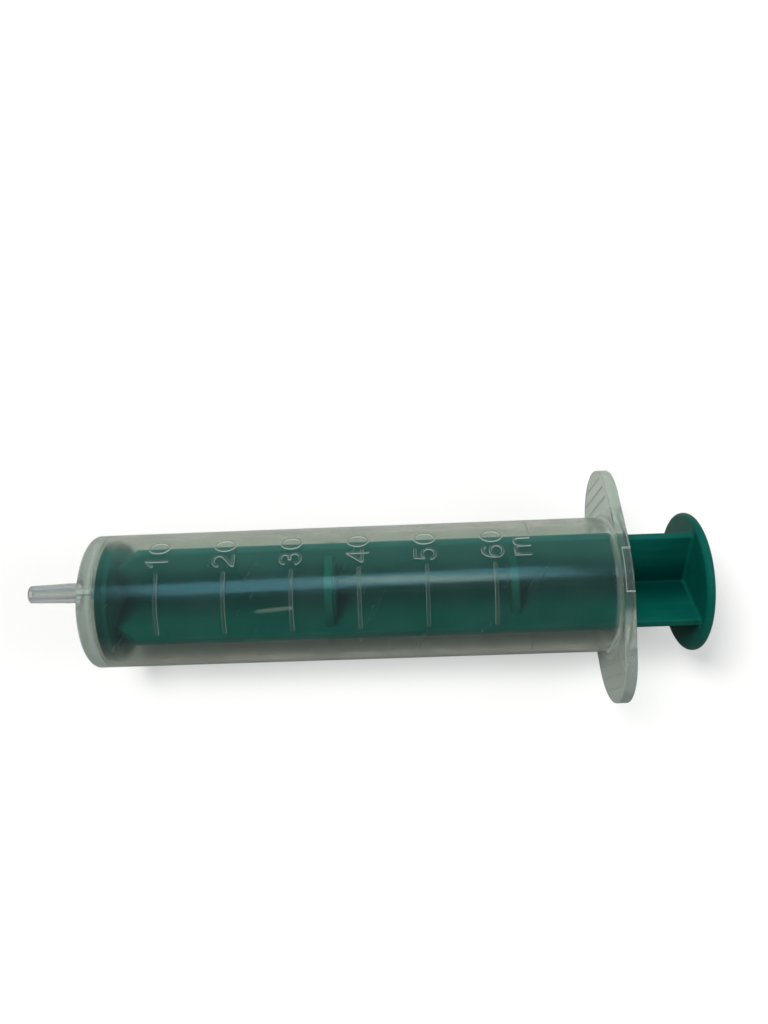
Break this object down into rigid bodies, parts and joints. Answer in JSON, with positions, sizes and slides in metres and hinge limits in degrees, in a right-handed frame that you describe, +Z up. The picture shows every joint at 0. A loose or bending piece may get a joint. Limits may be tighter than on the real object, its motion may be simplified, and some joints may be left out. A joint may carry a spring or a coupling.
{
  "type": "slip tip syringe",
  "caption": "Two-part 60 ml syringe: clear tube with an offset slip cone, finger flange and raised scale, and a cross-ribbed plunger with its own sealing lip.",
  "frame": {"origin": "on the table under the middle of the length, with the plunger pushed home", "axes": "+X along the syringe towards the thumb disc, +Y along the finger wings, +Z up through the scale and the offset cone"},
  "size_m": [0.153, 0.0556, 0.0346],
  "materials": {
    "clear_barrel": "milky clear polypropylene, satin, finely scratched",
    "green_plunger": "dark green polyethylene, satin"
  },
  "bodies": {
    "barrel": {"barrel": "clear_barrel"},
    "plunger": {"plunger": "green_plunger"}
  },
  "joints": [
    {"name": "plunger_slide", "type": "slide", "parent": "barrel", "child": "plunger", "axis": [1, 0, 0], "range_m": [0, 0.0961]}
  ]
}
